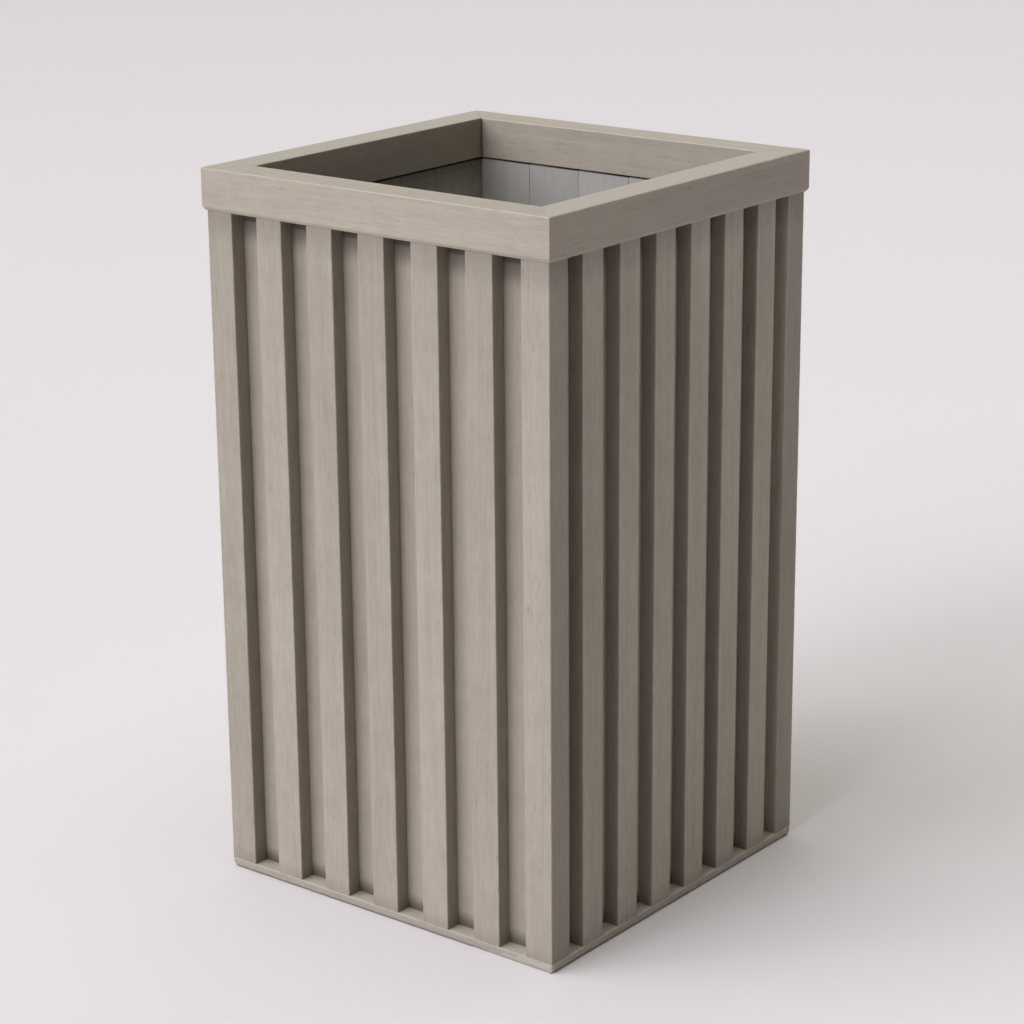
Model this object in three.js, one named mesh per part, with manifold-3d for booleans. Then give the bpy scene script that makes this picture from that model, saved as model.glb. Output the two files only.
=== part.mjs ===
// A tall, square, open-topped wastebasket in painted wood: upright boards between four corner
// posts, slats standing proud of the boards, a mitred rim and a screwed-on base panel.
// Millimetres, +Z up. The origin is the middle of the underside, and the front wall faces -Y.
import * as THREE from "three";
import { mergeVertices } from "three/addons/utils/BufferGeometryUtils.js";
import Module from "manifold-3d";

const wasm = await Module();
wasm.setup();

// ---------------------------------------------------------------- Driving dimensions

// The whole basket
const HEIGHT = 440;
const BODY_SIDE = 250; // across the faces of the slats
const BASE_THICKNESS = 6;
const RIM_HEIGHT = 25;

// Rim
const RIM_OVERHANG = 2; // past the faces of the slats
const RIM_WIDTH = 22; // of each rail, seen from above
const RIM_CHAMFER_IN = 2; // lower outer edge, measured inwards
const RIM_CHAMFER_UP = 3; // lower outer edge, measured upwards
const RIM_EASING = 0.6; // upper edges
const MITRE_GAP = 0.1; // each rail's end stops this far short of the corner's diagonal

// Walls
const SLAT_DEPTH = 10; // how far a slat stands proud of the boards
const BOARD_THICKNESS = 9;
const BOARDS_PER_WALL = 6;
const POST_X = 19; // a corner post's width on the front and back walls
const POST_Y = 17; // a corner post's width on the left and right walls
const SLAT_EASING = 0.5; // outer edges of slats and posts

const FRONT_SLATS = 5;
const FRONT_SLAT_WIDTH = 19;
const FRONT_END_GAP = 19.5; // between a corner post and the slat beside it
const SIDE_SLATS = 6;
const SIDE_SLAT_WIDTH = 18.5;
const SIDE_END_GAP = 13.5;

// Base panel
const BASE_CHAMFER_IN = 2; // lower edge, measured inwards
const BASE_CHAMFER_UP = 4; // lower edge, measured upwards

// Screws up through the base panel into the corner posts
const SCREW_HEAD_RADIUS = 3.5;
const SCREW_HEAD_DEPTH = 2;
const SCREW_SHANK_RADIUS = 1.7;
const SCREW_LENGTH = 26;
const SCREW_TIP_LENGTH = 4;
const SCREW_SINK = 0.3; // the head lies this far inside the underside
const SCREW_CLEARANCE = 0.3; // all round the screw in its hole
const RECESS_LENGTH = 4; // of each arm of the cross in the head
const RECESS_WIDTH = 0.9;
const RECESS_DEPTH = 1.2;
const ROUND_SEGMENTS = 24;

// ---------------------------------------------------------------- Worked out from them

const BODY_HALF = BODY_SIDE / 2;
const BOARD_FACE = BODY_HALF - SLAT_DEPTH; // outside of the boards, from the middle
const BOARD_BACK = BOARD_FACE - BOARD_THICKNESS; // inside of the boards, from the middle
const WALL_TOP = HEIGHT - RIM_HEIGHT;
const WALL_HEIGHT = WALL_TOP - BASE_THICKNESS;
const RIM_HALF = BODY_HALF + RIM_OVERHANG;
const POST_CENTRE_X = BODY_HALF - POST_X / 2;
const POST_CENTRE_Y = BODY_HALF - POST_Y / 2;
const QUARTER_TURN = Math.PI / 2;

// A wall's length lies between its two posts. Its slats are spread evenly between the end gaps,
// and every joint between two boards lies in the corner at a slat's left edge, out of sight.
function wallLayout(length, slatCount, slatWidth, endGap) {
  const gap = (length - 2 * endGap - slatCount * slatWidth) / (slatCount - 1);
  const firstSlat = endGap - length / 2;
  const slatLefts = Array.from(
    { length: slatCount },
    (_, i) => firstSlat + i * (slatWidth + gap),
  );
  const joints = slatLefts.slice(1 - BOARDS_PER_WALL);
  return { slatWidth, slatLefts, boardEdges: [-length / 2, ...joints, length / 2] };
}

const FRONT_LAYOUT = wallLayout(
  BODY_SIDE - 2 * POST_X,
  FRONT_SLATS,
  FRONT_SLAT_WIDTH,
  FRONT_END_GAP,
);
const SIDE_LAYOUT = wallLayout(
  BODY_SIDE - 2 * POST_Y,
  SIDE_SLATS,
  SIDE_SLAT_WIDTH,
  SIDE_END_GAP,
);

// Each wall is built facing -Y and turned into place, so opposite walls are the same panel.
const WALLS = [
  { side: "front", turn: 0, layout: FRONT_LAYOUT },
  { side: "right", turn: QUARTER_TURN, layout: SIDE_LAYOUT },
  { side: "back", turn: 2 * QUARTER_TURN, layout: FRONT_LAYOUT },
  { side: "left", turn: -QUARTER_TURN, layout: SIDE_LAYOUT },
];

const CORNERS = [
  { corner: "front_left", x: -1, y: -1 },
  { corner: "front_right", x: 1, y: -1 },
  { corner: "back_right", x: 1, y: 1 },
  { corner: "back_left", x: -1, y: 1 },
];

// ---------------------------------------------------------------- Materials

const FINISHES = {
  rim_wood: { color: 0xb9b0a5, roughness: 0.6, metalness: 0 },
  slat_wood: { color: 0xb0a89b, roughness: 0.6, metalness: 0 },
  board_wood: { color: 0x9b9791, roughness: 0.65, metalness: 0 },
  base_wood: { color: 0xaea698, roughness: 0.65, metalness: 0 },
  screw_steel: { color: 0x8f8d88, roughness: 0.35, metalness: 1 },
};

function piece(name, geometry, finish) {
  const mesh = new THREE.Mesh(
    geometry,
    new THREE.MeshStandardMaterial(FINISHES[finish]),
  );
  mesh.name = name;
  return mesh;
}

// ---------------------------------------------------------------- Joining and cutting

function solidOf(geometry) {
  const bare = geometry.clone();
  bare.deleteAttribute("normal");
  bare.deleteAttribute("uv");
  const merged = mergeVertices(bare);
  return new wasm.Manifold(
    new wasm.Mesh({
      numProp: 3,
      vertProperties: merged.getAttribute("position").array,
      triVerts: Uint32Array.from(merged.index.array),
    }),
  );
}

function cutAway(geometry, cutters) {
  const left = cutters.reduce(
    (solid, cutter) => solid.subtract(solidOf(cutter)),
    solidOf(geometry),
  );
  const mesh = left.getMesh();
  return new THREE.BufferGeometry()
    .setAttribute("position", new THREE.BufferAttribute(mesh.vertProperties, 3))
    .setIndex(new THREE.BufferAttribute(mesh.triVerts, 1));
}

// ---------------------------------------------------------------- Shapes

function outline(points) {
  return new THREE.Shape(points.map(([x, y]) => new THREE.Vector2(x, y)));
}

// A piece that stands on the base panel and reaches the rim, from its outline seen from above.
function upright(points) {
  return new THREE.ExtrudeGeometry(outline(points), {
    depth: WALL_HEIGHT,
    bevelEnabled: false,
  }).translate(0, 0, BASE_THICKNESS);
}

// A shape turned about the Z axis, from a profile of radius and height, lowest point first.
function turned(profile, segments = ROUND_SEGMENTS, start = 0) {
  const points = profile.map(([radius, height]) => new THREE.Vector2(radius, height));
  return new THREE.LatheGeometry(points, segments, start).rotateX(QUARTER_TURN);
}

function boardGeometry(left, right) {
  return upright([
    [left, -BOARD_FACE],
    [right, -BOARD_FACE],
    [right, -BOARD_BACK],
    [left, -BOARD_BACK],
  ]);
}

function slatGeometry(left, width) {
  const right = left + width;
  return upright([
    [left, -BOARD_FACE],
    [left, SLAT_EASING - BODY_HALF],
    [left + SLAT_EASING, -BODY_HALF],
    [right - SLAT_EASING, -BODY_HALF],
    [right, SLAT_EASING - BODY_HALF],
    [right, -BOARD_FACE],
  ]);
}

// The outer edge at the corner of the basket is eased, and so are the edges beside the gaps.
function postGeometry(corner) {
  const innerX = BODY_HALF - POST_X;
  const innerY = BODY_HALF - POST_Y;
  const section = [
    [innerX, innerY],
    [BODY_HALF - SLAT_EASING, innerY],
    [BODY_HALF, innerY + SLAT_EASING],
    [BODY_HALF, BODY_HALF - SLAT_EASING],
    [BODY_HALF - SLAT_EASING, BODY_HALF],
    [innerX + SLAT_EASING, BODY_HALF],
    [innerX, BODY_HALF - SLAT_EASING],
  ];
  return upright(section.map(([x, y]) => [corner.x * x, corner.y * y]));
}

// A rim rail's section is drawn inwards from its outer face and upwards from its underside.
// The extrusion is laid along X, and each point of the section gets a run as long as its place
// in the frame allows, which mitres both ends at 45 degrees.
function rimRailGeometry() {
  const section = outline([
    [RIM_CHAMFER_IN, 0],
    [RIM_WIDTH, 0],
    [RIM_WIDTH, RIM_HEIGHT - RIM_EASING],
    [RIM_WIDTH - RIM_EASING, RIM_HEIGHT],
    [RIM_EASING, RIM_HEIGHT],
    [0, RIM_HEIGHT - RIM_EASING],
    [0, RIM_CHAMFER_UP],
  ]);
  const rail = new THREE.ExtrudeGeometry(section, { depth: 2, bevelEnabled: false });
  rail.translate(0, 0, -1);
  const position = rail.getAttribute("position");
  for (let i = 0; i < position.count; i++) {
    const inwards = position.getX(i);
    const upwards = position.getY(i);
    const end = position.getZ(i); // -1 at the left end, 1 at the right end
    position.setXYZ(
      i,
      end * (RIM_HALF - inwards - MITRE_GAP),
      inwards - RIM_HALF,
      WALL_TOP + upwards,
    );
  }
  rail.computeVertexNormals();
  return rail;
}

// A square plate with a bevelled lower edge: a turned shape of four sides.
function basePlateGeometry() {
  const toCorner = Math.SQRT2;
  return turned(
    [
      [0, 0],
      [(BODY_HALF - BASE_CHAMFER_IN) * toCorner, 0],
      [BODY_HALF * toCorner, BASE_CHAMFER_UP],
      [BODY_HALF * toCorner, BASE_THICKNESS],
      [0, BASE_THICKNESS],
    ],
    4,
    Math.PI / 4,
  );
}

// The countersunk hole that a screw runs in, through the base panel and into a post.
function screwHole(corner) {
  const mouth = SCREW_HEAD_RADIUS + SCREW_CLEARANCE;
  const bore = SCREW_SHANK_RADIUS + SCREW_CLEARANCE;
  const below = -1;
  return turned([
    [0, below],
    [mouth, below],
    [mouth, SCREW_SINK],
    [bore, SCREW_SINK + SCREW_HEAD_DEPTH],
    [bore, SCREW_SINK + SCREW_LENGTH + SCREW_CLEARANCE],
    [0, SCREW_SINK + SCREW_LENGTH + SCREW_CLEARANCE],
  ]).translate(corner.x * POST_CENTRE_X, corner.y * POST_CENTRE_Y, 0);
}

function screwGeometry(corner) {
  const body = turned([
    [0, 0],
    [SCREW_HEAD_RADIUS, 0],
    [SCREW_SHANK_RADIUS, SCREW_HEAD_DEPTH],
    [SCREW_SHANK_RADIUS, SCREW_LENGTH - SCREW_TIP_LENGTH],
    [0, SCREW_LENGTH],
  ]);
  const arm = new THREE.BoxGeometry(RECESS_LENGTH, RECESS_WIDTH, 2 * RECESS_DEPTH);
  const crossArm = arm.clone().rotateZ(QUARTER_TURN);
  return cutAway(body, [arm, crossArm]).translate(
    corner.x * POST_CENTRE_X,
    corner.y * POST_CENTRE_Y,
    SCREW_SINK,
  );
}

// ---------------------------------------------------------------- Assembly

function wall({ side, turn, layout }) {
  const group = new THREE.Group();
  const { boardEdges, slatLefts, slatWidth } = layout;
  slatLefts.forEach((left, i) => {
    group.add(piece(`slat_${side}_${i + 1}`, slatGeometry(left, slatWidth), "slat_wood"));
  });
  boardEdges.slice(1).forEach((right, i) => {
    const board = boardGeometry(boardEdges[i], right);
    group.add(piece(`board_${side}_${i + 1}`, board, "board_wood"));
  });
  group.add(piece(`rim_rail_${side}`, rimRailGeometry(), "rim_wood"));
  group.rotation.z = turn;
  return group;
}

function cornerPost(corner) {
  const post = cutAway(postGeometry(corner), [screwHole(corner)]);
  return piece(`corner_post_${corner.corner}`, post, "slat_wood");
}

function baseScrew(corner) {
  return piece(`base_screw_${corner.corner}`, screwGeometry(corner), "screw_steel");
}

function basePanel() {
  const plate = cutAway(basePlateGeometry(), CORNERS.map(screwHole));
  return piece("base_panel", plate, "base_wood");
}

const group = new THREE.Group();
group.add(basePanel());
group.add(...CORNERS.map(cornerPost), ...CORNERS.map(baseScrew));
group.add(...WALLS.map(wall));

export default group;
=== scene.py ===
"""A tall, square wastebasket in stained wood: slatted walls, corner posts, a mitred rim and a
screwed-on base panel. Metres, +Z up, the front wall facing -Y."""

import math

import bmesh
import bpy
import numpy as np
from mathutils import Matrix, Vector, noise


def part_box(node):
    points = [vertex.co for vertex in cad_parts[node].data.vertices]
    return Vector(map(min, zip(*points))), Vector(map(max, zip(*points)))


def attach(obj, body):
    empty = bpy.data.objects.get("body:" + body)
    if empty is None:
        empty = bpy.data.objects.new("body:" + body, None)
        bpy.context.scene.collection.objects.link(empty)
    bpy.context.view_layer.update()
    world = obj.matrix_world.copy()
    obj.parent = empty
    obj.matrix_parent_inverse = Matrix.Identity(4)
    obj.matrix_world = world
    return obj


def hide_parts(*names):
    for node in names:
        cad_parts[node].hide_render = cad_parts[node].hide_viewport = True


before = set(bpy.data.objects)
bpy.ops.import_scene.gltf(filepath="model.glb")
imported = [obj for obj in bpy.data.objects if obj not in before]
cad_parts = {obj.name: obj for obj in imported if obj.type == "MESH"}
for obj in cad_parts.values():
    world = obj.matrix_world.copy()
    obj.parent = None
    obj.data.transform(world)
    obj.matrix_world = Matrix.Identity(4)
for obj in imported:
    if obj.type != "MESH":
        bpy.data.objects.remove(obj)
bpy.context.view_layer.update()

# ---------------------------------------------------------------- Sizes

MM = 0.001

# The walls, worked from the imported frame
WALL_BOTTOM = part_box("slat_front_1")[0].z
WALL_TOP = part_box("slat_front_1")[1].z
SLAT_FACE = -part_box("slat_front_1")[0].y
BOARD_FACE = -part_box("board_front_1")[0].y
BOARD_BACK = -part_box("board_front_1")[1].y
RIM_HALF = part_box("rim_rail_right")[1].x
RIM_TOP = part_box("rim_rail_right")[1].z
RIM_WIDTH = RIM_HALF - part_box("rim_rail_right")[0].x
BASE_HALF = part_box("base_panel")[1].x

# Each wall is built facing -Y and turned into place.
WALLS = {
    "front": (0, 5),
    "right": (90, 6),
    "back": (180, 5),
    "left": (-90, 6),
}
BOARDS_PER_WALL = 6
CORNERS = {
    "front_left": (-1, -1),
    "front_right": (1, -1),
    "back_right": (1, 1),
    "back_left": (-1, 1),
}

SLAT_EASING = 0.55 * MM  # radius of the arrises
EASING_STEPS = 3
BOARD_EASING = 0.3 * MM
BOARD_PLAY = 0.05 * MM  # half the hairline between two boards
SLAT_WANDER = 0.06 * MM  # how far a hand-planed face strays inwards
BOARD_WANDER = 0.05 * MM
BOARD_HEAD_BEVEL = 1.4 * MM  # the groove it leaves under the rim, inside
NICK_DEPTH = 0.3 * MM
NICK_FADE = 1.5 * MM  # how far past a rail's arris a nick reaches
STATION_SPACING = 3 * MM  # between the rings of points along a piece

RIM_EASING = 0.8 * MM
RIM_CHAMFER_IN = 1.3 * MM
RIM_CHAMFER_UP = 2 * MM
RIM_CHAMFER_BLEND = 1.2 * MM  # how roundly the chamfer meets the outer face
MITRE_GAP = 0.05 * MM
MITRE_EASING = 0.05 * MM
MITRE_FADE = 0.7 * MM
RIM_WANDER = 0.1 * MM
RIM_STATIONS = 90
RIM_CROWDING = 0.92  # under 1 sets the stations closer together towards the mitres

BASE_EASING = 0.2 * MM
BASE_CHAMFER_IN = 1.2 * MM
BASE_CHAMFER_UP = 2.4 * MM
BASE_CORNER = 0.9 * MM
BASE_WANDER = 0.06 * MM
BASE_PER_SIDE = 110
CHIP_DEPTH = 0.45 * MM
CHIP_BAND = 2.5 * MM  # how far in from the edge the chips reach
SCUFF_RUN = 80 * MM  # how far the scuffing reaches from the front right corner
SCUFF_RISE = 6.5 * MM

SCREW_HEAD_RADIUS = 3.5 * MM
SCREW_HEAD_DEPTH = 2 * MM
SCREW_SHANK_RADIUS = 1.7 * MM
SCREW_LENGTH = 26 * MM
SCREW_TIP = 4 * MM
SCREW_CLEARANCE = 0.3 * MM
THREAD_PITCH = 1.4 * MM
THREAD_DEPTH = 0.25 * MM
THREAD_START = 3.5 * MM
THREAD_FULL = 5.5 * MM
RECESS_LENGTH = 4 * MM
RECESS_WIDTH = 0.9 * MM
RECESS_DEPTH = 1.2 * MM
RECESS_TAPER = 260  # share of its width lost in a metre of depth

# The studio, in metres
PAPER_FLAT = 9.0
PAPER_SWEEP = 1.2
PAPER_HEIGHT = 1.9

# The camera, in degrees from straight in front, metres and millimetres of lens
CAMERA_AZIMUTH = 38.330
CAMERA_ELEVATION = 17.199
CAMERA_ROLL = -0.492
CAMERA_DISTANCE = 1.7081
CAMERA_AIM_HEIGHT = 0.2232
CAMERA_LENS = 98.75


# ---------------------------------------------------------------- Node helpers


class Nodes:
    """Adds nodes to one tree. Inputs are sockets to link, or plain values."""

    def __init__(self, tree):
        self.tree = tree

    def add(self, kind, inputs=None, **settings):
        node = self.tree.nodes.new(kind)
        for name, value in settings.items():
            setattr(node, name, value)
        for name, value in (inputs or {}).items():
            if isinstance(value, bpy.types.NodeSocket):
                self.tree.links.new(value, node.inputs[name])
            else:
                node.inputs[name].default_value = value
        return node

    def make(self, kind, inputs=None, **settings):
        """Adds a node and gives its first output."""
        return self.add(kind, inputs, **settings).outputs[0]

    def math(self, operation, a, b=0.0, c=0.0, clamp=False):
        inputs = {0: a, 1: b, 2: c}
        return self.make("ShaderNodeMath", inputs, operation=operation, use_clamp=clamp)

    def vector(self, operation, a, b=(0, 0, 0)):
        node = self.add("ShaderNodeVectorMath", {0: a, 1: b}, operation=operation)
        return node.outputs["Value" if operation == "LENGTH" else 0]

    def combine(self, x=0.0, y=0.0, z=0.0):
        return self.make("ShaderNodeCombineXYZ", {0: x, 1: y, 2: z})

    def split(self, vector):
        return self.add("ShaderNodeSeparateXYZ", {0: vector}).outputs

    def between(self, value, low, high, to_low=0.0, to_high=1.0, curve="SMOOTHSTEP"):
        """Carries low..high to to_low..to_high, and holds it there outside them."""
        inputs = {
            "Value": value,
            "From Min": low,
            "From Max": high,
            "To Min": to_low,
            "To Max": to_high,
        }
        return self.make("ShaderNodeMapRange", inputs, interpolation_type=curve)

    def cloud(self, vector, scale=1.0, detail=2.0, roughness=0.5):
        inputs = {"Vector": vector, "Scale": scale, "Detail": detail, "Roughness": roughness}
        return self.make("ShaderNodeTexNoise", inputs)

    def vary(self, value, pattern, amount, clamp=False):
        """Adds a pattern of 0 to 1 to a value, centred so that the mean stays the same."""
        centred = self.math("SUBTRACT", pattern, 0.5)
        return self.math("MULTIPLY_ADD", centred, amount, value, clamp=clamp)

    def mix(self, factor, a, b):
        node = self.add("ShaderNodeMix", data_type="RGBA")
        for index, value in ((0, factor), (6, a), (7, b)):
            if isinstance(value, bpy.types.NodeSocket):
                self.tree.links.new(value, node.inputs[index])
            else:
                node.inputs[index].default_value = value
        return node.outputs[2]

    def painted(self, name, output="Vector"):
        """What a piece's points carry under a name, as a material reads it."""
        return self.add("ShaderNodeAttribute", attribute_name=name).outputs[output]

    def store(self, geometry, name, value, kind="FLOAT_VECTOR"):
        inputs = {"Geometry": geometry, "Name": name, "Value": value}
        return self.make("GeometryNodeStoreNamedAttribute", inputs, data_type=kind)

    def read(self, name, kind="FLOAT_VECTOR"):
        return self.make("GeometryNodeInputNamedAttribute", {"Name": name}, data_type=kind)

    def move(self, geometry, where, how="Position"):
        return self.make("GeometryNodeSetPosition", {0: geometry, how: where})

    def choose(self, condition, chosen, otherwise):
        inputs = {"Switch": condition, "True": chosen, "False": otherwise}
        return self.make("GeometryNodeSwitch", inputs, input_type="FLOAT")

    def finish(self, instances, material):
        """Ends a Geometry Nodes tree: its instances made real, in their material."""
        whole = self.make("GeometryNodeRealizeInstances", {0: instances})
        inputs = {"Geometry": whole, "Material": material}
        finished = self.make("GeometryNodeSetMaterial", inputs)
        output = self.add("NodeGroupOutput")
        self.tree.links.new(finished, output.inputs[0])


def new_tree(name, sizes):
    """A Geometry Nodes group with its named inputs, from (name, kind, value) rows."""
    tree = bpy.data.node_groups.new(name, "GeometryNodeTree")
    tree.interface.new_socket("Geometry", in_out="OUTPUT", socket_type="NodeSocketGeometry")
    for label, kind, value in sizes:
        socket = tree.interface.new_socket(label, in_out="INPUT", socket_type=kind)
        if value is not None:
            socket.default_value = value
    return tree


def grow(name, tree, values):
    """Runs a tree on an empty mesh, and returns its result as a plain mesh object."""
    made = bpy.data.objects.new(name, bpy.data.meshes.new(name))
    bpy.context.scene.collection.objects.link(made)
    modifier = made.modifiers.new(tree.name, "NODES")
    modifier.node_group = tree
    sockets = {
        item.name: item.identifier
        for item in tree.interface.items_tree
        if item.item_type == "SOCKET" and item.in_out == "INPUT"
    }
    for label, value in values.items():
        modifier[sockets[label]] = value
    return as_plain_mesh(made)


def as_plain_mesh(piece):
    """Applies a piece's modifiers and removes them."""
    bpy.context.view_layer.update()
    evaluated = piece.evaluated_get(bpy.context.evaluated_depsgraph_get())
    mesh = bpy.data.meshes.new_from_object(evaluated)
    mesh.name = piece.name
    piece.modifiers.clear()
    piece.data = mesh
    return piece


def face_outwards(piece):
    """Turns every face of closed bodies outwards."""
    work = bmesh.new()
    work.from_mesh(piece.data)
    bmesh.ops.recalc_face_normals(work, faces=work.faces)
    work.to_mesh(piece.data)
    work.free()


def soften(piece, angle=50):
    """Smooth over the eased arrises, flat on the flats, and crisp past the given angle."""
    piece.data.shade_smooth()
    piece.data.set_sharp_from_angle(angle=math.radians(angle))
    weighted = piece.modifiers.new("Flat faces", "WEIGHTED_NORMAL")
    weighted.mode = "FACE_AREA"
    weighted.weight = 100
    weighted.keep_sharp = True
    as_plain_mesh(piece)


# ---------------------------------------------------------------- Finishes

PALE_STAIN = "B2AA9D"
DARK_STAIN = "8A8275"
WORN = "C6C0B5"  # stain rubbed thin on the arrises
PAINTED_TOP_LIGHT = "E0D7CD"  # painted highlight on the tops of the rim and the base
PORE = "5E544A"
DASH = "6E645A"  # short dark flecks along the grain
PAINTED_SHADE = "3A322A"


def colour(code):
    """A hex sRGB colour as linear RGBA."""
    parts = [int(code[i : i + 2], 16) / 255 for i in (0, 2, 4)]
    linear = [p / 12.92 if p <= 0.04045 else ((p + 0.055) / 1.055) ** 2.4 for p in parts]
    return (*linear, 1.0)


def new_material(name):
    """A material with an empty tree, and the helper that adds its nodes."""
    material = bpy.data.materials.new(name)
    material.use_nodes = True
    material.node_tree.nodes.clear()
    return material, Nodes(material.node_tree)


def surface(n, inputs):
    """Ends a material in one shader."""
    shader = n.make("ShaderNodeBsdfPrincipled", inputs)
    output = n.add("ShaderNodeOutputMaterial")
    n.tree.links.new(shader, output.inputs["Surface"])


def stained_wood(
    name, pale, dark, along, streaks=0.7, pores=0.35, inside=None, gloss=0.35, **shading_and_scuffs
):
    """Matt, greige stain on straight-grained wood, with the grain along one axis. The painted shade
    and light and the scuffs are what shade_light_and_scuffs() takes."""
    material, n = new_material(name)
    place = n.add("ShaderNodeTexCoord").outputs["Object"]
    plank = n.painted("plank")
    own = n.vector("ADD", place, plank)

    def grain(per_metre_across, per_metre_along, detail=2.0, roughness=0.5):
        scale = [per_metre_across] * 3
        scale["XYZ".index(along)] = per_metre_along
        stretched = n.make("ShaderNodeMapping", {"Vector": own, "Scale": scale})
        return n.cloud(stretched, detail=detail, roughness=roughness)

    broad = grain(22, 3, 2)
    bands = grain(160, 4, 3, 0.55)
    fibres = grain(750, 16, 4, 0.65)
    hairs = grain(2600, 70, 2, 0.6)
    blotches = grain(330, 85, 2, 0.5)
    mottle = n.cloud(own, 65, 3, 0.6)
    batch = n.math("FRACT", n.math("MULTIPLY", n.split(plank)[2], 7.31))

    tone = n.vary(0.5, bands, 0.55 * streaks)
    tone = n.vary(tone, fibres, 0.75 * streaks)
    tone = n.vary(tone, hairs, 0.32 * streaks)
    tone = n.vary(tone, blotches, 0.5 * streaks)
    tone = n.vary(tone, broad, 0.55)
    tone = n.vary(tone, mottle, 0.4)
    tone = n.vary(tone, batch, 0.14, clamp=True)
    shade = n.mix(tone, colour(dark), colour(pale))

    pore_lines = n.between(grain(1500, 48, 3, 0.7), 0.60, 0.72)
    pore_patches = n.between(grain(60, 9, 2), 0.42, 0.62)
    pore = n.math("MULTIPLY", n.math("MULTIPLY", pore_lines, pore_patches), pores)
    shade = n.mix(pore, shade, colour(PORE))
    dashes = n.math("MULTIPLY", n.between(grain(900, 120, 1), 0.66, 0.76), 0.4 * streaks)
    shade = n.mix(dashes, shade, colour(DASH))

    outside = 1.0
    if inside:
        inner = n.painted("inside", "Fac")
        shade = n.mix(inner, shade, n.mix(tone, colour(inside[0]), colour(inside[1])))
        outside = n.math("SUBTRACT", 1.0, inner)

    from_arris = n.vector("SUBTRACT", n.painted("reach"), n.vector("ABSOLUTE", n.painted("across")))
    from_arris = n.vector("LENGTH", n.vector("MAXIMUM", from_arris))
    rubbed = n.between(from_arris, 0.15 * MM, 0.9 * MM, 1.0, 0.0)
    patches = n.between(n.cloud(own, 95, 3, 0.65), 0.38, 0.68, 0.02, 0.3)
    rubbed = n.math("MULTIPLY", rubbed, patches)
    shade = n.mix(rubbed, shade, colour(WORN))
    shade = shade_light_and_scuffs(n, shade, place, bands, outside, **shading_and_scuffs)

    sheen = n.vary(0.56, fibres, -0.18)
    sheen = n.vary(sheen, mottle, 0.16)
    sheen = n.math("MULTIPLY_ADD", pore, 0.3, sheen)
    sheen = n.math("MULTIPLY_ADD", rubbed, -0.06, sheen, clamp=True)

    relief = n.math("MULTIPLY_ADD", hairs, 0.35, n.math("MULTIPLY", fibres, 0.6))
    relief = n.math("MULTIPLY_ADD", pore, -1.2, relief)
    relief = n.math("MULTIPLY_ADD", mottle, 0.25, relief)
    bump = n.make("ShaderNodeBump", {"Height": relief, "Strength": 0.5, "Distance": 0.12 * MM})
    surface(
        n,
        {
            "Base Color": shade,
            "Roughness": sheen,
            "Normal": bump,
            "Specular IOR Level": gloss,
            "Sheen Weight": 0.04,
            "Sheen Roughness": 0.5,
        },
    )
    return material


def shade_light_and_scuffs(n, shade, place, bands, outside, sheltered=0.0, edges=0.0, crown=0.0, scuffed=None):
    """Painted shade and light on the stain, each by its own weight: painted shadow under the rim
    and painted shade above the base, painted shade on the slat sides, a painted highlight on the
    top, and round the base a painted contact shadow and real scuffs of a given colour."""
    height = n.split(place)[2]
    across = n.split(n.painted("across"))
    reach = n.split(n.painted("reach"))
    if sheltered:
        # painted shadow under the rim's overhang, and painted shade at the foot of the walls
        below_rim = n.math("SUBTRACT", WALL_TOP, height)
        above_base = n.math("SUBTRACT", height, WALL_BOTTOM)
        recess_shadow = n.between(n.vary(below_rim, bands, 6 * MM), 8 * MM, 21 * MM, 0.6, 0.0)
        deep = n.between(below_rim, 5 * MM, 9 * MM, 0.8, 0.0)
        low = n.between(above_base, 1 * MM, 11 * MM, 0.7, 0.0)
        recess_shadow = n.math("MAXIMUM", n.math("MAXIMUM", recess_shadow, deep), low)
        recess_shadow = n.math("MULTIPLY", n.math("MULTIPLY", recess_shadow, sheltered), outside)
        shade = n.mix(recess_shadow, shade, colour(PAINTED_SHADE))
    if edges:
        # painted shade: the slats' side faces darken towards the boards, where the gaps lie in
        # shadow
        aside = n.math("SUBTRACT", n.math("ABSOLUTE", across[0]), reach[0])
        behind = n.math("ADD", across[1], reach[1])
        on_side = n.math("MULTIPLY", n.between(aside, -0.5 * MM, 0.0), edges)
        on_side = n.math("MULTIPLY", on_side, n.between(behind, 0.3 * MM, 1.5 * MM))
        shade = n.mix(on_side, shade, colour(PAINTED_SHADE))
    if crown:
        # painted highlight: the topmost strip of a piece is mixed paler, as if lit from above
        top = n.math("SUBTRACT", across[1], reach[1])
        top_light = n.math("MULTIPLY", n.between(top, -0.7 * MM, -0.1 * MM), crown)
        shade = n.mix(top_light, shade, colour(PAINTED_TOP_LIGHT))
    if scuffed:
        # painted contact shadow: a dark line along the foot of the base, where it meets the floor
        contact_shade = n.between(height, 0.2 * MM, 1.8 * MM, 0.8, 0.0)
        shade = n.mix(contact_shade, shade, colour(PAINTED_SHADE))
        shade = n.mix(scuffing(n, place), shade, colour(scuffed))
    return shade


def scuffing(n, place):
    """Where knocks have rubbed the stain off, low down beside the front right corner."""
    x, y, z = n.split(place)
    from_right = n.math("ABSOLUTE", n.math("SUBTRACT", x, BASE_HALF))
    from_front = n.math("ABSOLUTE", n.math("ADD", y, BASE_HALF))
    on_front = n.between(from_front, 2.5 * MM, 4 * MM, 1.0, 0.0)
    ragged = n.cloud(n.vector("MULTIPLY", place, (1.0, 1.0, 2.0)), 170, 5, 0.75)
    rise = n.between(from_right, 2 * MM, SCUFF_RUN, SCUFF_RISE, -0.6 * MM)
    rise = n.vary(rise, ragged, 11 * MM)
    bare = n.between(n.math("SUBTRACT", rise, z), 0.0, 0.8 * MM)
    return n.math("MULTIPLY", n.math("MULTIPLY", bare, on_front), 0.7)


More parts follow.
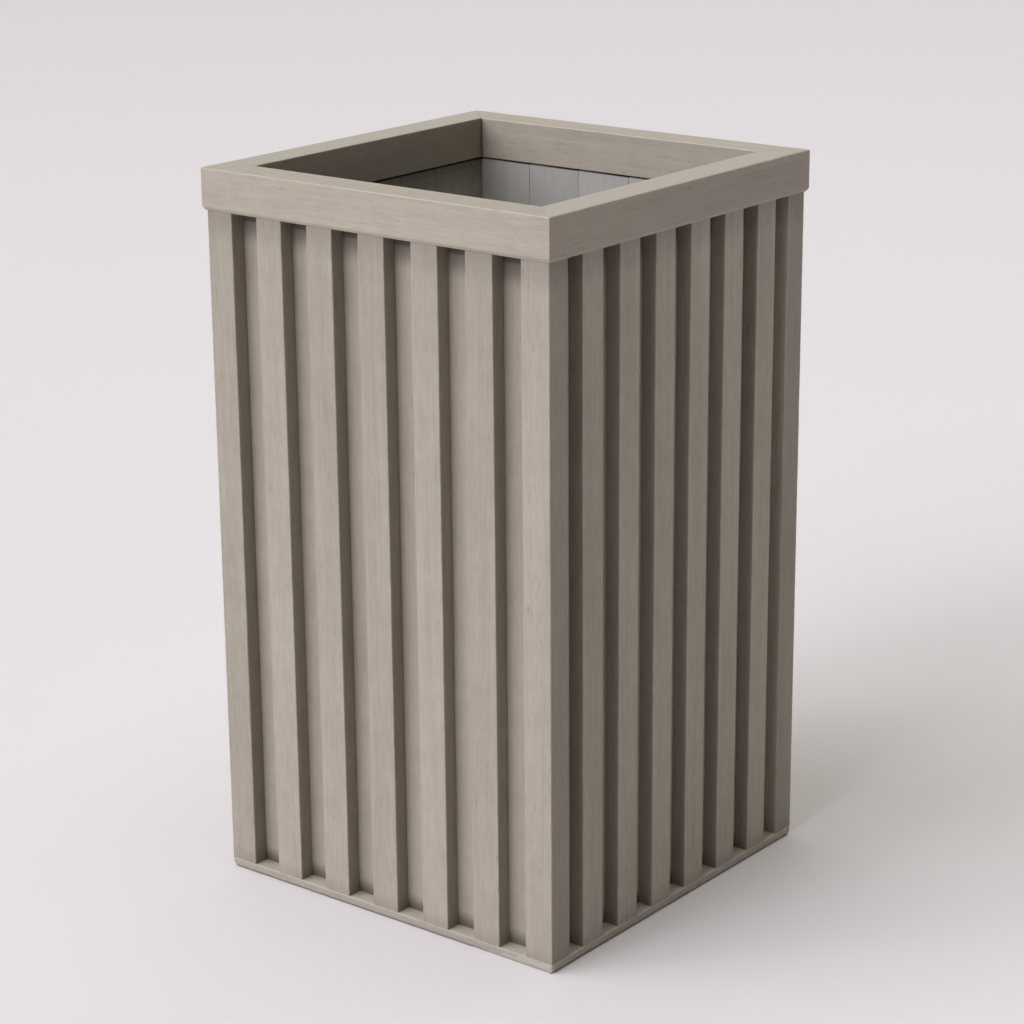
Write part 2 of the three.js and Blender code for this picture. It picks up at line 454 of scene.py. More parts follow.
def plated_steel(name):
    """Zinc-plated screw steel, dulled and slightly mottled."""
    material, n = new_material(name)
    place = n.add("ShaderNodeTexCoord").outputs["Object"]
    spots = n.cloud(place, 900, 3, 0.6)
    film = n.cloud(place, 260, 2, 0.5)
    drawn_out = n.make("ShaderNodeMapping", {"Vector": place, "Scale": (5200, 700, 900)})
    scratches = n.cloud(drawn_out, detail=3)
    shade = n.mix(spots, colour("8A8883"), colour("B4B2AC"))
    shade = n.mix(n.between(film, 0.5, 0.75, 0.0, 0.45), shade, colour("7D7563"))
    sheen = n.math("MULTIPLY_ADD", spots, 0.3, 0.22)
    sheen = n.math("MULTIPLY_ADD", scratches, 0.12, sheen, clamp=True)
    bump = n.make("ShaderNodeBump", {"Height": scratches, "Strength": 0.3, "Distance": 0.03 * MM})
    surface(n, {"Base Color": shade, "Metallic": 1.0, "Roughness": sheen, "Normal": bump})
    return material


SLAT_WOOD = stained_wood(
    "Slat wood, upright grain", PALE_STAIN, DARK_STAIN, "Z", sheltered=0.25, edges=0.28
)
BOARD_WOOD = stained_wood(
    "Board wood, upright grain",
    "B7AEA0",
    "8F8678",
    "Z",
    streaks=0.5,
    pores=0.2,
    inside=("9B9892", "BEBBB5"),
    sheltered=1.0,
)
RIM_WOOD_X = stained_wood("Rim wood, grain along X", "BAB0A3", "968D7F", "X", gloss=0.5, crown=0.2)
# painted shade: the side rails get a darker copy of the rim stain, for their shaded faces
SHADED_RIM_WOOD_Y = stained_wood("Rim wood, grain along Y", "A49B8F", "837B6E", "Y", gloss=0.5, crown=0.38)
# The base's painted highlight brightens its ledge tops between the slats.
BASE_WOOD = stained_wood(
    "Base wood, grain along X", PALE_STAIN, DARK_STAIN, "X", crown=0.45, scuffed="B0AC9F"
)
SCREW_STEEL = plated_steel("Plated screw steel")


# ---------------------------------------------------------------- Laths: slats and boards

SHADED_LEFT_INNER_TINT = 0.3  # painted shade: the shaded left wall's inside takes less of the pale, cool inner colour
LATH_SIZES = (
    ("Count", "NodeSocketInt", 5),
    ("First Left", "NodeSocketFloat", 0.0),
    ("Pitch", "NodeSocketFloat", 0.0385),
    ("Width", "NodeSocketFloat", 0.019),
    ("Fill Ends", "NodeSocketBool", False),
    ("Low End", "NodeSocketFloat", 0.0),
    ("High End", "NodeSocketFloat", 0.0),
    ("Play", "NodeSocketFloat", 0.0),
    ("Outer Face", "NodeSocketFloat", 0.125),
    ("Inner Face", "NodeSocketFloat", 0.115),
    ("Bottom", "NodeSocketFloat", 0.006),
    ("Top", "NodeSocketFloat", 0.415),
    ("Stations", "NodeSocketInt", 100),
    ("Easing", "NodeSocketFloat", 0.0005),
    ("Wander", "NodeSocketFloat", 0.0001),
    ("Nick Depth", "NodeSocketFloat", 0.0003),
    ("Head Bevel", "NodeSocketFloat", 0.0),
    ("Inner Tint", "NodeSocketFloat", 1.0),
    ("Wall Turn", "NodeSocketFloat", 0.0),
    ("Seed", "NodeSocketInt", 1),
    ("Finish", "NodeSocketMaterial", None),
)


def lath_row_tree():
    """A row of upright laths on one wall. Every lath has eased arrises, faces that wander a
    little inwards along its length, and a few nicks in its outer arrises."""
    tree = new_tree("Lath row", LATH_SIZES)
    n = Nodes(tree)
    size = n.add("NodeGroupInput").outputs
    here = n.make("GeometryNodeInputPosition")
    height = n.split(here)[2]
    depth = n.math("SUBTRACT", size["Outer Face"], size["Inner Face"])
    clear_width = n.math("MULTIPLY_ADD", size["Play"], -2.0, size["Width"])

    # One lath: an eased section swept upwards, its head cut at the bevel
    outline = n.make(
        "GeometryNodeCurvePrimitiveQuadrilateral", {"Width": clear_width, "Height": depth}
    )
    eased = n.make(
        "GeometryNodeFilletCurve",
        {0: outline, "Radius": size["Easing"], "Count": EASING_STEPS},
        mode="POLY",
    )
    section = n.store(eased, "across", here)
    foot = n.combine(0.0, 0.0, size["Bottom"])
    head = n.combine(0.0, 0.0, size["Top"])
    path = n.make("GeometryNodeCurvePrimitiveLine", {"Start": foot, "End": head})
    path = n.make("GeometryNodeResampleCurve", {"Curve": path, "Count": size["Stations"]})
    lath = n.make(
        "GeometryNodeCurveToMesh", {"Curve": path, "Profile Curve": section, "Fill Caps": True}
    )
    across = n.read("across")
    in_section = n.split(across)
    at_head = n.math("GREATER_THAN", height, n.math("SUBTRACT", size["Top"], 0.5 * MM))
    inner_share = n.math("ADD", n.math("DIVIDE", in_section[1], depth), 0.5)
    bevel = n.math("MULTIPLY", n.math("MULTIPLY", inner_share, at_head), size["Head Bevel"])
    bevelled = n.combine(in_section[0], in_section[1], n.math("SUBTRACT", height, bevel))
    lath = n.move(lath, bevelled)

    # Where each lath goes, and how much wider or narrower than the rest it is
    index = n.make("GeometryNodeInputIndex")
    last = n.math("SUBTRACT", size["Count"], 1.0)
    is_first = n.math("LESS_THAN", index, 0.5)
    is_first = n.math("MULTIPLY", is_first, size["Fill Ends"])
    is_last = n.math("GREATER_THAN", index, n.math("SUBTRACT", last, 0.5))
    is_last = n.math("MULTIPLY", is_last, size["Fill Ends"])
    plain_left = n.math("MULTIPLY_ADD", index, size["Pitch"], size["First Left"])
    plain_right = n.math("ADD", plain_left, size["Width"])
    left = n.choose(is_first, size["Low End"], plain_left)
    right = n.choose(is_last, size["High End"], plain_right)
    middle = n.math("MULTIPLY", n.math("ADD", left, right), 0.5)
    half_extra = n.math("SUBTRACT", n.math("SUBTRACT", right, left), size["Width"])
    half_extra = n.math("MULTIPLY", half_extra, 0.5)
    mid_depth = n.math("MULTIPLY", n.math("ADD", size["Outer Face"], size["Inner Face"]), -0.5)
    chance = n.make(
        "FunctionNodeRandomValue",
        {"Min": (-4, -4, -4), "Max": (4, 4, 4), "Seed": size["Seed"]},
        data_type="FLOAT_VECTOR",
    )
    row = n.make("GeometryNodePoints", {"Count": size["Count"], "Radius": 1 * MM})
    row = n.move(row, n.combine(middle, mid_depth, 0.0))
    row = n.store(row, "half_extra", half_extra, "FLOAT")
    row = n.store(row, "plank", chance)
    row = n.make("GeometryNodeInstanceOnPoints", {"Points": row, "Instance": lath})
    row = n.make("GeometryNodeRealizeInstances", {0: row})

    # Widen or narrow about the middle, so that the arrises keep their radius
    extra = n.read("half_extra", "FLOAT")
    plank = n.read("plank")
    side = n.math("SIGN", in_section[0])
    facing = n.math("SIGN", in_section[1])
    shift = n.combine(n.math("MULTIPLY", side, extra), 0.0, 0.0)
    half_width = n.math("MULTIPLY_ADD", clear_width, 0.5, extra)
    half_depth = n.math("MULTIPLY", depth, 0.5)
    is_inside = n.math("GREATER_THAN", in_section[1], n.math("MULTIPLY", half_depth, 0.98))
    row = n.move(row, shift, "Offset")
    row = n.store(row, "across", n.vector("ADD", across, shift))
    row = n.store(row, "reach", n.combine(half_width, half_depth, 0.0))
    row = n.store(row, "inside", n.math("MULTIPLY", is_inside, size["Inner Tint"]), "FLOAT")

    # The faces wander inwards, and the outer arrises carry nicks
    drift = n.vector("ADD", here, plank)
    low_wave = n.cloud(n.vector("MULTIPLY", drift, (9.0, 9.0, 5.0)), detail=2.0)
    fine_wave = n.cloud(n.vector("MULTIPLY", drift, (40.0, 40.0, 22.0)), detail=2.0)
    wave = n.math("MULTIPLY_ADD", fine_wave, 0.3, n.math("MULTIPLY", low_wave, 0.7))
    nicks = n.cloud(n.vector("MULTIPLY", drift, (70.0, 70.0, 70.0)), detail=1.0)
    bite = n.between(nicks, 0.66, 0.8)
    rounding = n.math("MULTIPLY", size["Easing"], 0.95)
    on_arris = n.math(
        "GREATER_THAN",
        n.math("ABSOLUTE", in_section[0]),
        n.math("SUBTRACT", half_width, rounding),
    )
    on_face = n.math("LESS_THAN", in_section[1], 0.0)
    bite = n.math("MULTIPLY", n.math("MULTIPLY", bite, on_arris), size["Nick Depth"])
    stray = n.math("MULTIPLY_ADD", wave, size["Wander"], bite)
    stray = n.math("MULTIPLY", stray, on_face)
    inwards = n.combine(
        n.math("MULTIPLY", n.math("MULTIPLY", side, stray), -0.6),
        n.math("MULTIPLY", n.math("MULTIPLY", facing, stray), -1.0),
        0.0,
    )
    row = n.move(row, inwards, "Offset")

    # The finished row is turned to its wall
    pivot = n.make("GeometryNodePoints", {"Count": 1})
    turn = n.combine(0.0, 0.0, size["Wall Turn"])
    turned = n.make(
        "GeometryNodeInstanceOnPoints", {"Points": pivot, "Instance": row, "Rotation": turn}
    )
    n.finish(turned, size["Finish"])
    return tree


def run_of(node, turn):
    """A node's left and right ends along its wall, as if the wall faced -Y."""
    back = Matrix.Rotation(-math.radians(turn), 3, "Z")
    low, high = (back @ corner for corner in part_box(node))
    return min(low.x, high.x), max(low.x, high.x)


def build_walls():
    """Slats and boards, one row of each to a wall."""
    tree = lath_row_tree()
    stations = round((WALL_TOP - WALL_BOTTOM) / STATION_SPACING)
    shared = {"Bottom": WALL_BOTTOM, "Top": WALL_TOP, "Stations": stations}
    for order, (wall, (turn, slats)) in enumerate(WALLS.items()):
        first = run_of(f"slat_{wall}_1", turn)
        second = run_of(f"slat_{wall}_2", turn)
        row = grow(
            f"slats_{wall}",
            tree,
            shared
            | {
                "Count": slats,
                "First Left": first[0],
                "Pitch": second[0] - first[0],
                "Width": first[1] - first[0],
                "Outer Face": SLAT_FACE,
                "Inner Face": BOARD_FACE,
                "Easing": SLAT_EASING,
                "Wander": SLAT_WANDER,
                "Nick Depth": NICK_DEPTH,
                "Wall Turn": math.radians(turn),
                "Seed": 11 + order,
                "Finish": SLAT_WOOD,
            },
        )
        hand_over(row, [f"slat_{wall}_{i + 1}" for i in range(slats)])

        names = [f"board_{wall}_{i + 1}" for i in range(BOARDS_PER_WALL)]
        low_end = run_of(names[0], turn)[0]
        high_end = run_of(names[-1], turn)[1]
        second = run_of(names[1], turn)
        pitch = second[1] - second[0]
        row = grow(
            f"boards_{wall}",
            tree,
            shared
            | {
                "Count": BOARDS_PER_WALL,
                "First Left": second[0] - pitch,
                "Pitch": pitch,
                "Width": pitch,
                "Fill Ends": True,
                "Low End": low_end,
                "High End": high_end,
                "Play": BOARD_PLAY,
                "Outer Face": BOARD_FACE,
                "Inner Face": BOARD_BACK,
                "Easing": BOARD_EASING,
                "Wander": BOARD_WANDER,
                "Nick Depth": 0.0,
                "Head Bevel": BOARD_HEAD_BEVEL,
                "Inner Tint": SHADED_LEFT_INNER_TINT if wall == "left" else 1.0,
                "Wall Turn": math.radians(turn),
                "Seed": 31 + order,
                "Finish": BOARD_WOOD,
            },
        )
        hand_over(row, names)

    for order, (corner, (x, y)) in enumerate(CORNERS.items()):
        low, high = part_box(f"corner_post_{corner}")
        turn = math.pi if y > 0 else 0.0
        left = low.x if y < 0 else -high.x
        post = grow(
            f"post_{corner}",
            tree,
            shared
            | {
                "Count": 1,
                "First Left": left,
                "Width": high.x - low.x,
                "Outer Face": SLAT_FACE,
                "Inner Face": SLAT_FACE - (high.y - low.y),
                "Easing": SLAT_EASING,
                "Wander": SLAT_WANDER,
                "Nick Depth": NICK_DEPTH,
                "Wall Turn": turn,
                "Seed": 51 + order,
                "Finish": SLAT_WOOD,
            },
        )
        cut(post, screw_hole(x, y))
        hand_over(post, [f"corner_post_{corner}"])


# ---------------------------------------------------------------- Turned and swept shapes


def mesh_object(name, points, faces, finish):
    mesh = bpy.data.meshes.new(name)
    mesh.from_pydata([tuple(p) for p in points], [], faces)
    mesh.materials.append(finish)
    made = bpy.data.objects.new(name, mesh)
    bpy.context.scene.collection.objects.link(made)
    return made


def give(piece, name, values):
    """Stores one vector for each point of a piece."""
    attribute = piece.data.attributes.new(name, "FLOAT_VECTOR", "POINT")
    attribute.data.foreach_set("vector", np.asarray(values, np.float32).ravel())


def rounded(corners, steps=4, spacing=2.5 * MM):
    """A closed outline from (x, y, radius) corners, with arcs at the corners and points
    along the flats."""
    outline = []
    count = len(corners)
    for i, (x, y, radius) in enumerate(corners):
        here = Vector((x, y))
        before = Vector(corners[i - 1][:2])
        after = Vector(corners[(i + 1) % count][:2])
        back = (before - here).normalized()
        onward = (after - here).normalized()
        half_angle = math.acos(max(-1.0, min(1.0, back.dot(onward)))) / 2
        cut_back = radius / math.tan(half_angle)
        start = here + back * cut_back
        end = here + onward * cut_back
        for step in range(steps + 1):
            t = step / steps
            outline.append(start * (1 - t) ** 2 + here * 2 * t * (1 - t) + end * t**2)
    filled = []
    for i, point in enumerate(outline):
        following = outline[(i + 1) % len(outline)]
        parts = max(1, math.ceil((following - point).length / spacing))
        filled += [point.lerp(following, k / parts) for k in range(parts)]
    return filled


def ring_faces(rings, around):
    """Quads between rings of points, with a cap on the first and last ring."""
    faces = []
    for r in range(rings - 1):
        for k in range(around):
            a = r * around + k
            b = r * around + (k + 1) % around
            faces.append((a, b, b + around, a + around))
    faces.append(tuple(range(around - 1, -1, -1)))
    faces.append(tuple(range((rings - 1) * around, rings * around)))
    return faces


def screw_hole(x, y):
    """The countersunk hole of one screw, as a turned cutter."""
    low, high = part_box(f"base_screw_{corner_name(x, y)}")
    mouth = SCREW_HEAD_RADIUS + SCREW_CLEARANCE
    bore = SCREW_SHANK_RADIUS + SCREW_CLEARANCE
    seat = low.z + SCREW_HEAD_DEPTH
    profile = [(mouth, -1 * MM), (mouth, low.z), (bore, seat), (bore, high.z + SCREW_CLEARANCE)]
    around = 32
    points = []
    for radius, height in profile:
        for k in range(around):
            angle = 2 * math.pi * k / around
            points.append(
                (
                    (low.x + high.x) / 2 + radius * math.cos(angle),
                    (low.y + high.y) / 2 + radius * math.sin(angle),
                    height,
                )
            )
    return mesh_object("hole", points, ring_faces(len(profile), around), BASE_WOOD)


def corner_name(x, y):
    return next(name for name, place in CORNERS.items() if place == (x, y))


def cut(piece, cutter):
    """Takes the cutter's shape out of a piece and removes the cutter."""
    face_outwards(piece)
    face_outwards(cutter)
    cutting = piece.modifiers.new("Cut", "BOOLEAN")
    cutting.operation = "DIFFERENCE"
    cutting.solver = "EXACT"
    cutting.object = cutter
    as_plain_mesh(piece)
    bpy.data.objects.remove(cutter)


def hand_over(piece, nodes):
    """Finishes a piece, hangs it under its body, and hides the CAD nodes that it stands for."""
    face_outwards(piece)
    soften(piece)
    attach(piece, "root")
    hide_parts(*nodes)


# ---------------------------------------------------------------- Rim


def build_rim():
    """Four mitred rails. A rail's section is drawn inwards from its outer face and upwards."""
    height = RIM_TOP - WALL_TOP
    section = rounded(
        [
            (RIM_CHAMFER_IN, 0, 0.6 * MM),
            (RIM_WIDTH, 0, 0.4 * MM),
            (RIM_WIDTH, height, RIM_EASING),
            (0, height, RIM_EASING),
            (0, RIM_CHAMFER_UP, RIM_CHAMFER_BLEND),
        ]
    )
    for order, (wall, (turn, _)) in enumerate(WALLS.items()):
        turned = Matrix.Rotation(math.radians(turn), 3, "Z")
        shift = Vector((order * 3.7 + 1.3, order * 1.9 - 2.2, order * 2.3))
        points = []
        across = []
        for station in range(RIM_STATIONS):
            along = 2 * station / (RIM_STATIONS - 1) - 1
            along = math.copysign(abs(along) ** RIM_CROWDING, along)
            for inwards, up in section:
                half_run = RIM_HALF - inwards - MITRE_GAP
                plain = Vector((along * half_run, inwards - RIM_HALF, WALL_TOP + up))
                from_end = half_run * (1 - abs(along))
                wave = 0.5 + 0.5 * noise.noise((plain + shift) * 9)
                bite = knock((plain + shift) * 75, 0.34, 2.2) * edge_nearness(inwards, up, height)
                stray = RIM_WANDER * wave + NICK_DEPTH * bite
                stray += MITRE_EASING * max(0.0, 1 - from_end / MITRE_FADE)
                middle = Vector((plain.x, RIM_WIDTH / 2 - RIM_HALF, WALL_TOP + height * 0.35))
                pull = middle - plain
                if up < 0.5 * MM:
                    pull.z = 0  # the underside stays flat on the slats
                strayed = plain + pull.normalized() * stray if pull.length else plain
                points.append(turned @ strayed)
                across.append((inwards - RIM_WIDTH / 2, up - height / 2, 0))
        finish = RIM_WOOD_X if turn % 180 == 0 else SHADED_RIM_WOOD_Y
        faces = ring_faces(RIM_STATIONS, len(section))
        rail = mesh_object(f"rim_{wall}", points, faces, finish)
        give(rail, "across", across)
        give(rail, "reach", [(RIM_WIDTH / 2, height / 2, 0)] * len(points))
        give(rail, "plank", [tuple(shift)] * len(points))
        hand_over(rail, [f"rim_rail_{wall}"])


def knock(at, threshold, depth):
    """0 over most of the wood, and more in a few small spots."""
    return max(0.0, noise.noise(at) - threshold) * depth


def edge_nearness(inwards, up, height):
    """1 on a rail's upper arrises, fading to 0 beside them."""
    arrises = [(0, height), (RIM_WIDTH, height)]
    nearest = min(math.hypot(inwards - x, up - z) for x, z in arrises)
    return max(0.0, 1 - nearest / NICK_FADE)


# ---------------------------------------------------------------- Base


def square_ring(half, corner, per_side):
    """Points round a square with rounded corners, counter-clockwise."""
    corner = min(corner, half * 0.5)
    flat = half - corner
    ring = []
    for quarter in range(4):
        turned = Matrix.Rotation(quarter * math.pi / 2, 2)
        for k in range(per_side):
            y = flat * (2 * k / (per_side - 1) - 1)
            ring.append(turned @ Vector((half, y)))
        for step in range(1, 4):
            angle = step * math.pi / 8
            bend = Vector((flat + corner * math.cos(angle), flat + corner * math.sin(angle)))
            ring.append(turned @ bend)
    return ring


def build_base():
    """A square panel with an eased upper edge, a bevelled lower edge that knocks have chipped,
    and four countersunk holes."""
    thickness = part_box("base_panel")[1].z
    # Half widths and heights, from the middle of the top, over the edge, to the middle below
    profile = [
        (20 * MM, thickness),
        (BASE_HALF - 12 * MM, thickness),
        (BASE_HALF - 5 * MM, thickness),
        (BASE_HALF - 1.5 * MM, thickness),
        (BASE_HALF - BASE_EASING, thickness),
        (BASE_HALF - 0.3 * BASE_EASING, thickness - 0.3 * BASE_EASING),
        (BASE_HALF, thickness - BASE_EASING),
        (BASE_HALF, BASE_CHAMFER_UP + 0.5 * MM),
        (BASE_HALF - 0.15 * MM, BASE_CHAMFER_UP - 0.1 * MM),
        (BASE_HALF - BASE_CHAMFER_IN * 0.35, BASE_CHAMFER_UP * 0.65),
        (BASE_HALF - BASE_CHAMFER_IN * 0.7, BASE_CHAMFER_UP * 0.3),
        (BASE_HALF - BASE_CHAMFER_IN * 0.93, BASE_CHAMFER_UP * 0.08),
        (BASE_HALF - BASE_CHAMFER_IN * 1.15, 0),
        (BASE_HALF - 12 * MM, 0),
        (20 * MM, 0),
    ]
    points = []
    across = []
    for half, height in profile:
        on_edge = half > BASE_HALF - CHIP_BAND
        exposed = 1.0 if height < BASE_CHAMFER_UP * 0.8 else 0.35
        lifted = 0.5 if 0 < height < BASE_CHAMFER_UP * 0.5 else 0.0
        for x, y in square_ring(half, BASE_CORNER, BASE_PER_SIDE):
            bite = knock(Vector((x, y, height)) * 90 + Vector((3, 1, 7)), 0.2, 1.6)
            stray = on_edge * (BASE_WANDER + CHIP_DEPTH * bite * exposed)
            share = 1 - stray / half
            points.append((x * share, y * share, height + stray * lifted))
            across.append((half, height - thickness / 2, 0))
    around = len(points) // len(profile)
    panel = mesh_object("base", points, ring_faces(len(profile), around), BASE_WOOD)
    give(panel, "across", across)
    give(panel, "reach", [(BASE_HALF, thickness / 2, 0)] * len(points))
    give(panel, "plank", [(2.1, 0.7, 1.4)] * len(points))
    for x, y in CORNERS.values():
        cut(panel, screw_hole(x, y))
    hand_over(panel, ["base_panel"])


# ---------------------------------------------------------------- Screws

SCREW_SIZES = (
    ("Head Radius", "NodeSocketFloat", 0.0035),
    ("Head Depth", "NodeSocketFloat", 0.002),
    ("Shank Radius", "NodeSocketFloat", 0.0017),
    ("Length", "NodeSocketFloat", 0.026),
    ("Tip Length", "NodeSocketFloat", 0.004),
    ("Thread Pitch", "NodeSocketFloat", 0.0014),
    ("Thread Depth", "NodeSocketFloat", 0.0002),
    ("Recess Length", "NodeSocketFloat", 0.004),
    ("Recess Width", "NodeSocketFloat", 0.0009),
    ("Recess Depth", "NodeSocketFloat", 0.0012),
    ("Spread X", "NodeSocketFloat", 0.1155),
    ("Spread Y", "NodeSocketFloat", 0.1165),
    ("Sink", "NodeSocketFloat", 0.0003),
    ("Seed", "NodeSocketInt", 1),
    ("Finish", "NodeSocketMaterial", None),
)


def screw_tree():
    """Four countersunk, cross-recessed wood screws, head down, each turned by chance."""
    tree = new_tree("Base screws", SCREW_SIZES)
    n = Nodes(tree)
    size = n.add("NodeGroupInput").outputs
    spot = n.split(n.make("GeometryNodeInputPosition"))

    # A cylinder of rings, whose radius then follows the height: head, thread and tip
    rings = {"Vertices": 28, "Side Segments": 110, "Radius": 1.0, "Depth": size["Length"]}
    body = n.make("GeometryNodeMeshCylinder", rings)
    height = n.math("MULTIPLY_ADD", size["Length"], 0.5, spot[2])
    land = n.math("MULTIPLY", size["Head Depth"], 0.12)
    core = n.math("SUBTRACT", size["Shank Radius"], size["Thread Depth"])
    radius = n.between(height, land, size["Head Depth"], size["Head Radius"], core, "LINEAR")
    turn = n.math("ARCTAN2", spot[1], spot[0])
    climb = n.math("DIVIDE", height, size["Thread Pitch"])
    helix = n.math("FRACT", n.math("MULTIPLY_ADD", turn, 1 / (2 * math.pi), climb))
    ridge = n.math("SUBTRACT", 1.0, n.math("ABSOLUTE", n.math("MULTIPLY_ADD", helix, 2.0, -1.0)))
    ridge = n.math("POWER", ridge, 2.0)
    past_head = n.between(height, THREAD_START, THREAD_FULL)
    ridge = n.math("MULTIPLY", n.math("MULTIPLY", ridge, past_head), size["Thread Depth"])
    radius = n.math("ADD", radius, ridge)
    tip = n.math("SUBTRACT", size["Length"], size["Tip Length"])
    to_point = n.between(height, tip, size["Length"], 1.0, 0.08, "LINEAR")
    radius = n.math("MULTIPLY", radius, to_point)
    shaped = n.combine(
        n.math("MULTIPLY", spot[0], radius), n.math("MULTIPLY", spot[1], radius), height
    )
    body = n.move(body, shaped)

    # The cross recess: two crossed bars that narrow with depth
    arms = n.add("GeometryNodeJoinGeometry")
    for length, width in (("Recess Length", "Recess Width"), ("Recess Width", "Recess Length")):
        box = n.combine(size[length], size[width], n.math("MULTIPLY", size["Recess Depth"], 2.0))
        arm = n.make("GeometryNodeMeshCube", {"Size": box})
        narrow = n.math("MULTIPLY_ADD", spot[2], -RECESS_TAPER, 1.0)
        tapered = n.combine(
            n.math("MULTIPLY", spot[0], narrow), n.math("MULTIPLY", spot[1], narrow), spot[2]
        )
        tree.links.new(n.move(arm, tapered), arms.inputs[0])
    driven = n.add("GeometryNodeMeshBoolean", operation="DIFFERENCE")
    tree.links.new(body, driven.inputs["Mesh 1"])
    tree.links.new(arms.outputs[0], driven.inputs["Mesh 2"])

    # One in each corner
    index = n.make("GeometryNodeInputIndex")
    to_right = n.math("MULTIPLY_ADD", n.math("MODULO", index, 2.0), 2.0, -1.0)
    to_back = n.math("MULTIPLY_ADD", n.math("GREATER_THAN", index, 1.5), 2.0, -1.0)
    spread = n.combine(
        n.math("MULTIPLY", to_right, size["Spread X"]),
        n.math("MULTIPLY", to_back, size["Spread Y"]),
        size["Sink"],
    )
    corners = n.move(n.make("GeometryNodePoints", {"Count": 4}), spread)
    chance = n.make(
        "FunctionNodeRandomValue",
        {"Min": (0, 0, 0), "Max": (0, 0, math.pi), "Seed": size["Seed"]},
        data_type="FLOAT_VECTOR",
    )
    placed = n.make(
        "GeometryNodeInstanceOnPoints",
        {"Points": corners, "Instance": driven.outputs[0], "Rotation": chance},
    )
    n.finish(placed, size["Finish"])
    return tree


def build_screws():
    low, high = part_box("base_screw_front_right")
    screws = grow(
        "screws",
        screw_tree(),
        {
            "Head Radius": SCREW_HEAD_RADIUS,
            "Head Depth": SCREW_HEAD_DEPTH,
            "Shank Radius": SCREW_SHANK_RADIUS,
            "Length": SCREW_LENGTH,
            "Tip Length": SCREW_TIP,
            "Thread Pitch": THREAD_PITCH,
            "Thread Depth": THREAD_DEPTH,
            "Recess Length": RECESS_LENGTH,
            "Recess Width": RECESS_WIDTH,
            "Recess Depth": RECESS_DEPTH,
            "Spread X": (low.x + high.x) / 2,
            "Spread Y": -(low.y + high.y) / 2,
            "Sink": low.z,
            "Seed": 5,
            "Finish": SCREW_STEEL,
        },
    )
    hand_over(screws, [f"base_screw_{corner}" for corner in CORNERS])


# ---------------------------------------------------------------- Studio


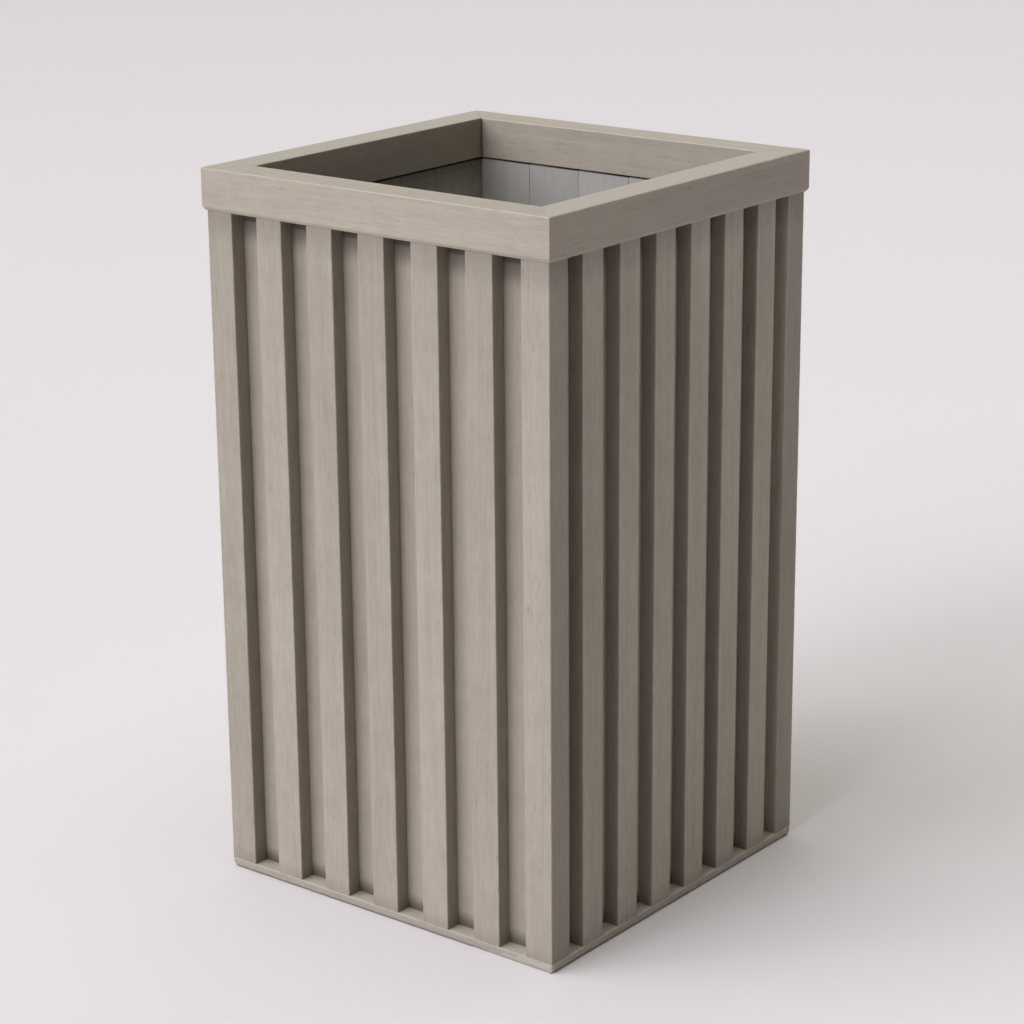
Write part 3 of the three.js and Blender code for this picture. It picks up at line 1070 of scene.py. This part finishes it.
def build_studio():
    """A pale paper floor that sweeps up all round, five wide soft lamps and a dim room."""
    material, n = new_material("Studio paper")
    place = n.add("ShaderNodeTexCoord").outputs["Object"]
    clouded = n.mix(n.cloud(place, 1.2, 2), colour("E5E0E5"), colour("E9E4E9"))
    # painted shade: the paper darkens away from the basket, as the light falls off
    painted_falloff = n.between(n.vector("LENGTH", place), 0.5, 5.0)
    clouded = n.mix(painted_falloff, clouded, colour("DBD6DB"))
    # Painted light: the sweep on the left has its back to the key, and glows instead of being lit
    to_left = n.math("MULTIPLY", n.split(place)[0], -1.0)
    painted_glow = n.between(to_left, 6.0, 9.4, 0.0, 0.42)
    surface(
        n,
        {
            "Base Color": clouded,
            "Roughness": 0.9,
            "Specular IOR Level": 0.1,
            "Emission Color": clouded,
            "Emission Strength": painted_glow,
        },
    )

    profile = [(0.001, 0.0), (1.0, 0.0), (3.0, 0.0), (PAPER_FLAT, 0.0)]
    for step in range(1, 13):
        angle = step * math.pi / 24
        out = PAPER_FLAT + PAPER_SWEEP * math.sin(angle)
        profile.append((out, PAPER_SWEEP * (1 - math.cos(angle))))
    profile.append((PAPER_FLAT + PAPER_SWEEP, PAPER_HEIGHT))
    around = 96
    points = [
        (r * math.cos(2 * math.pi * k / around), r * math.sin(2 * math.pi * k / around), z)
        for r, z in profile
        for k in range(around)
    ]
    faces = ring_faces(len(profile), around)[:-1]
    paper = mesh_object("studio_paper", points, faces, material)
    paper.data.shade_smooth()

    world = bpy.data.worlds.new("Dim room")
    bpy.context.scene.world = world
    world.use_nodes = True
    room = world.node_tree.nodes["Background"]
    room.inputs["Color"].default_value = colour("FFEFD8")
    room.inputs["Strength"].default_value = 0.07

    # One wide, low softbox in three bays, a wash off the rear wall and a ceiling panel
    soft_lamp("Key, left bay", -52, 27, 0.94, 36, "F7F7FF")
    soft_lamp("Key, middle bay", -27, 29, 1.02, 34, "F7F7FF")
    soft_lamp("Key, right bay", -4, 30, 1.06, 30, "F7F7FF")
    soft_lamp("Rear wash", -150, 45, 0.50, 95, "FDFEF0")
    soft_lamp("Ceiling panel", 0, 88, 1.20, 60, "FDFEF2")


def soft_lamp(name, azimuth, elevation, strength, spread, tint):
    """Even light from one direction. Azimuth 0 is in front of the basket, and 90 at its right."""
    lamp = bpy.data.lights.new(name, "SUN")
    lamp.energy = strength
    lamp.angle = math.radians(spread)
    lamp.color = colour(tint)[:3]
    made = bpy.data.objects.new(name, lamp)
    bpy.context.scene.collection.objects.link(made)
    towards = direction(azimuth, elevation)
    made.rotation_euler = (-towards).to_track_quat("-Z", "Y").to_euler()


def direction(azimuth, elevation):
    """From the basket towards a lamp or the camera, from degrees."""
    turn = math.radians(azimuth)
    rise = math.radians(elevation)
    return Vector(
        (math.sin(turn) * math.cos(rise), -math.cos(turn) * math.cos(rise), math.sin(rise))
    )


def build_camera():
    """A short telephoto from the front right, a little above the rim."""
    azimuth = math.radians(CAMERA_AZIMUTH)
    roll = math.radians(CAMERA_ROLL)
    forward = -direction(CAMERA_AZIMUTH, CAMERA_ELEVATION)
    right = Vector((math.cos(azimuth), math.sin(azimuth), 0))
    up = right.cross(forward)
    rolled_right = right * math.cos(roll) + up * math.sin(roll)
    rolled_up = up * math.cos(roll) - right * math.sin(roll)
    lens = bpy.data.cameras.new("Camera")
    lens.lens = CAMERA_LENS
    lens.sensor_width = 36
    lens.dof.use_dof = False
    camera = bpy.data.objects.new("Camera", lens)
    bpy.context.scene.collection.objects.link(camera)
    basis = Matrix((rolled_right, rolled_up, -forward)).transposed().to_4x4()
    aim = Vector((0, 0, CAMERA_AIM_HEIGHT))
    camera.matrix_world = Matrix.Translation(aim - forward * CAMERA_DISTANCE) @ basis
    bpy.context.scene.camera = camera
    bpy.context.scene.view_settings.view_transform = "Standard"


build_walls()
build_rim()
build_base()
build_screws()
build_studio()
build_camera()
